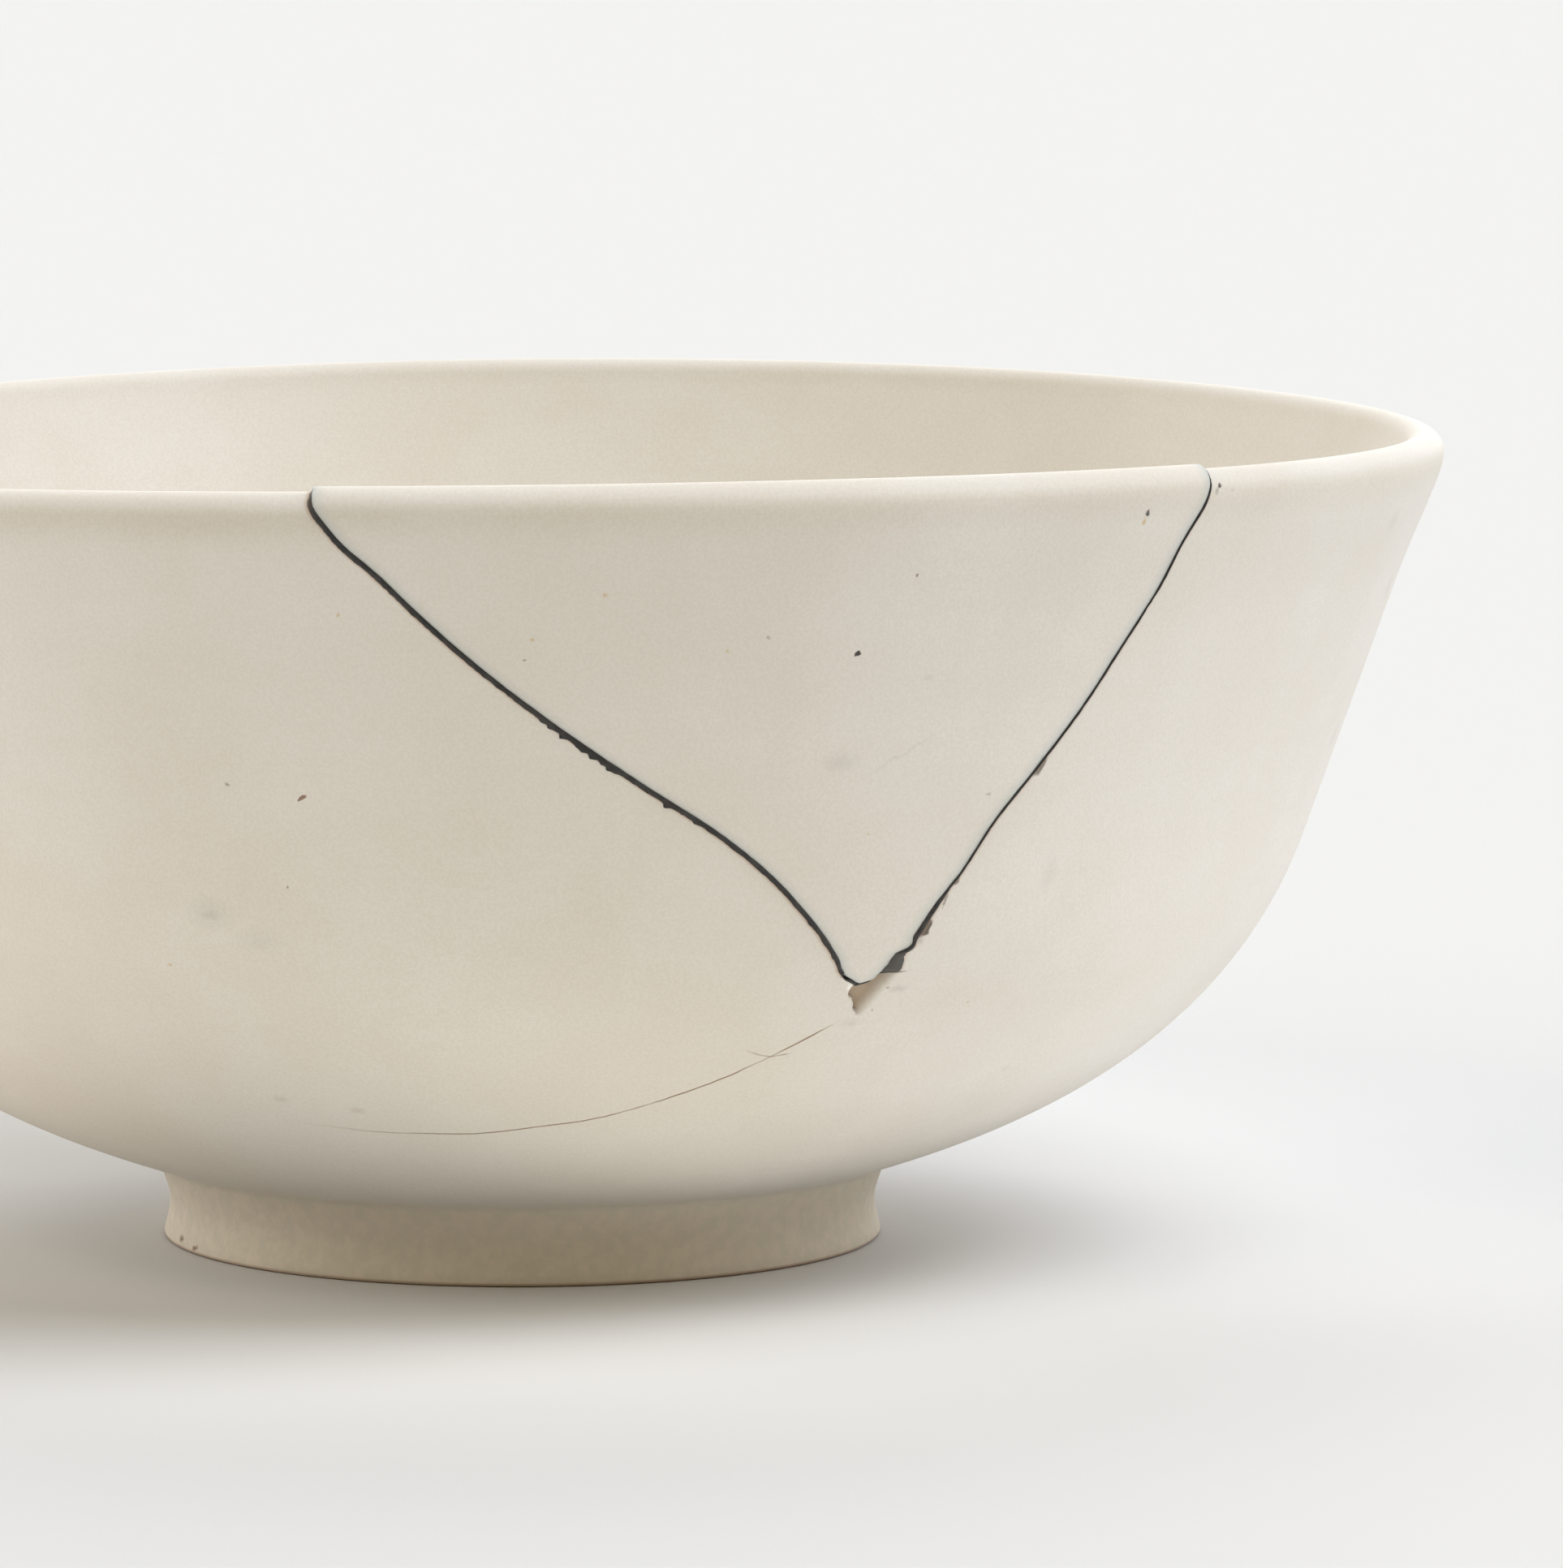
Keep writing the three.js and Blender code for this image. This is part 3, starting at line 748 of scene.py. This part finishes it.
def glue_arm(first, last, on_left):
    """One arm of the band between two edges. Its skin bulges, laps over both edges and rises to the
    sherd at the rim. Below the sherd's tip it is open on the side where the two arms meet."""
    arm = bmesh.new()
    wall_section(arm, glue_rungs)
    start, end = spin_section(arm, GLUE_COLUMNS)
    open_below(arm, end if on_left else start, glue_tip)
    shares = fan_out(arm, first, last)
    points = read_points(arm)
    heights = points[:, 2]
    radii = np.hypot(points[:, 0], points[:, 1])
    outside = radii > radius_at(outer_curve, heights) - SKIN_DEPTH
    from_body = shares if on_left else 1 - shares
    reach = np.array([lap_over(z / MM) for z in heights]) if on_left else GLUE_LAP
    body_lap = -reach * (1 - 2 * from_body) * fade((heights - tip_of_body) / EDGE_SETTLE)
    sherd_lap = GLUE_LAP * (2 * from_body - 1) * fade((heights - glue_tip) / EDGE_SETTLE)
    lap = np.where(from_body < 0.5, body_lap, sherd_lap) * MM * outside / radii
    turn = lap if on_left else -lap
    turned = points.copy()
    turned[:, 0] = points[:, 0] * np.cos(turn) - points[:, 1] * np.sin(turn)
    turned[:, 1] = points[:, 0] * np.sin(turn) + points[:, 1] * np.cos(turn)
    turned[:, 2] -= CRUMB_HANG * np.maximum(-body_lap - GLUE_LAP, 0) * (from_body < 0.5) * outside * MM
    rough = np.array([noise.noise(Vector(point) * GLUE_GRAIN) for point in points])
    swell = np.sin(math.pi * shares) * fade((heights - tip_of_body) / EDGE_SETTLE)
    bulge = GLUE_FILM + (GLUE_BULGE + GLUE_ROUGHNESS * rough) * swell
    sunk = chip_share(points)[0] * CHIP_DEPTH * GLUE_IN_CHIP
    rise = from_body * fade((heights - RISE_FROM) / (lip_foot - RISE_FROM))
    place_points(arm, warp(push(turned, sunk - bulge * outside)) + rise[:, None] * lift)
    return arm


glue_mesh = bmesh.new()
left_arm = glue_arm(body_left, lambda z: glue_sherd_left(risen(z)), True)
right_arm = glue_arm(lambda z: glue_sherd_right(risen(z)), body_right, False)
for arm in (left_arm, right_arm):
    arm_data = bpy.data.meshes.new("arm")
    arm.to_mesh(arm_data)
    arm.free()
    glue_mesh.from_mesh(arm_data)
    bpy.data.meshes.remove(arm_data)
merge(glue_mesh)
glue_points = read_points(glue_mesh)
glue_right = glue_points[:, 0] > math.sin(TIP_ANGLE) * np.hypot(glue_points[:, 0], glue_points[:, 1])
glue_heights = glue_points[:, 2] / MM
patch = fade((glue_heights - PATCH_LOW) / PATCH_FADE) * fade((PATCH_HIGH - glue_heights) / PATCH_FADE)
patch = glue_right * patch
brown = (1 - glue_right) * fade((glue_heights - BROWN_FROM) / BROWN_FADE) * BROWN_SHARE
glue = bpy.data.materials.new("glue")
glue.use_nodes = True
glue_seam = finish_piece("glue_seam_dressed", glue_mesh, glue, {"patch": patch, "brown": brown})
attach(glue_seam, "root")
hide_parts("glue_seam")
GLUE_BLACK = (0.022, 0.021, 0.021, 1)
GLUE_DARK_GREY = (0.042, 0.039, 0.037, 1)
GLUE_PATCH_GREY = (0.074, 0.069, 0.064, 1)
GLUE_BROWN = (0.09, 0.07, 0.055, 1)
GLUE_LUMPS = 900
GLUE_DULLNESS = 0.55
GLUE_SHINE = 0.3
tree = glue.node_tree
place = add_node(tree, "TexCoord", {}).outputs["Object"]
lumps = noise_value(tree, place, GLUE_LUMPS, 3)
tint = blend(tree, ramp(tree, lumps, 0.4, 0.65), GLUE_BLACK, GLUE_DARK_GREY)
tint = blend(tree, attribute(tree, "patch"), tint, GLUE_PATCH_GREY)
tint = blend(tree, attribute(tree, "brown"), tint, GLUE_BROWN)
shader = tree.nodes["Principled BSDF"]
tree.links.new(tint, shader.inputs["Base Color"])
shader.inputs["Roughness"].default_value = GLUE_DULLNESS
shader.inputs["Specular IOR Level"].default_value = GLUE_SHINE

# The stage. The bowl stands on a plain pale floor that runs out of the picture on all sides, in
# soft studio light: wide lights all round, strongest from the right and from behind, weak and warm
# from the left, and four round reflectors on the floor that light the belly from below.
CAMERA_DISTANCE = 786.04 * MM
CAMERA_HEIGHT = 123.93 * MM
CAMERA_PAN = 0.0270
CAMERA_PITCH = 0.1103
CAMERA_ROLL = 0.0013
FOCAL_PIXELS = 11909.8
IMAGE_HEIGHT = 1932
SENSOR = 36
camera_data = bpy.data.cameras.new("camera")
camera_data.sensor_width = SENSOR
camera_data.lens = FOCAL_PIXELS * SENSOR / IMAGE_HEIGHT
camera = bpy.data.objects.new("camera", camera_data)
camera.location = (0, -CAMERA_DISTANCE, CAMERA_HEIGHT)
facing = Matrix.Rotation(-CAMERA_PAN, 3, "Z") @ Matrix.Rotation(math.pi / 2 - CAMERA_PITCH, 3, "X")
camera.rotation_euler = (facing @ Matrix.Rotation(CAMERA_ROLL, 3, "Z")).to_euler()
bpy.context.collection.objects.link(camera)
bpy.context.scene.camera = camera

FLOOR_REACH = 8
FLOOR_COLOUR = (0.638, 0.638, 0.637, 1)
floor_mesh = bmesh.new()
bmesh.ops.create_grid(floor_mesh, x_segments=1, y_segments=1, size=FLOOR_REACH)
floor_data = bpy.data.meshes.new("floor")
floor_mesh.to_mesh(floor_data)
floor_mesh.free()
paper = bpy.data.materials.new("paper")
paper.use_nodes = True
paper_shader = paper.node_tree.nodes["Principled BSDF"]
paper_shader.inputs["Base Color"].default_value = FLOOR_COLOUR
paper_shader.inputs["Roughness"].default_value = 1
paper_shader.inputs["Specular IOR Level"].default_value = 0
floor_data.materials.append(paper)
floor = bpy.data.objects.new("floor", floor_data)
bpy.context.collection.objects.link(floor)


SOFTBOX_ANGLE = math.radians(36)
REFLECTOR_HEIGHT = 1 * MM


def new_lamp(name, kind, red, green, blue):
    """A lamp whose colour and strength are given together, as three strengths."""
    strength = max(red, green, blue)
    data = bpy.data.lights.new(name, kind)
    data.energy = strength
    data.color = (red / strength, green / strength, blue / strength)
    lamp = bpy.data.objects.new(name, data)
    bpy.context.collection.objects.link(lamp)
    return lamp


def soft_light(azimuth, elevation, red, green, blue):
    """A far light as wide as a large softbox, at an azimuth in degrees round from the front."""
    lamp = new_lamp("softbox", "SUN", red, green, blue)
    lamp.data.angle = SOFTBOX_ANGLE
    turn = math.radians(azimuth)
    rise = math.radians(elevation)
    way = Vector((math.sin(turn) * math.cos(rise), -math.cos(turn) * math.cos(rise), math.sin(rise)))
    lamp.rotation_euler = way.to_track_quat("Z", "Y").to_euler()


def reflector(to_right, to_front, size, red, green, blue):
    """A round reflector that lies on the floor, unseen, and sends light up under the belly."""
    lamp = new_lamp("reflector", "AREA", red, green, blue)
    lamp.data.shape = "DISK"
    lamp.data.size = size
    lamp.location = (to_right, -to_front, REFLECTOR_HEIGHT)
    lamp.rotation_euler = (math.pi, 0, 0)
    lamp.visible_camera = False


soft_light(20, 26, 0.30, 0.24, 0.13)
soft_light(60, 62, 1.52, 1.59, 1.68)
soft_light(90, 35, 1.52, 1.52, 1.56)
soft_light(150, 12, 0.82, 0.82, 0.82)
soft_light(180, 12, 1.22, 1.22, 1.22)
soft_light(180, 45, 0.85, 0.86, 0.87)
soft_light(220, 12, 0.38, 0.38, 0.38)
soft_light(250, 12, 0.96, 0.92, 0.90)
soft_light(270, 35, 0.56, 0.52, 0.45)
soft_light(320, 35, 0.79, 0.74, 0.64)
reflector(85 * MM, 55 * MM, 100 * MM, 0.0120, 0.0119, 0.0117)
reflector(0, 105 * MM, 90 * MM, 0.0070, 0.0062, 0.0043)
reflector(-85 * MM, 55 * MM, 100 * MM, 0.0112, 0.0098, 0.0080)
reflector(25 * MM, 62 * MM, 50 * MM, 0.0016, 0.0015, 0.0012)
world = bpy.data.worlds.new("studio")
bpy.context.scene.world = world
world.use_nodes = True
world.node_tree.nodes["Background"].inputs["Color"].default_value = (1, 1, 1, 1)
world.node_tree.nodes["Background"].inputs["Strength"].default_value = 0
bpy.context.scene.view_settings.view_transform = "Standard"
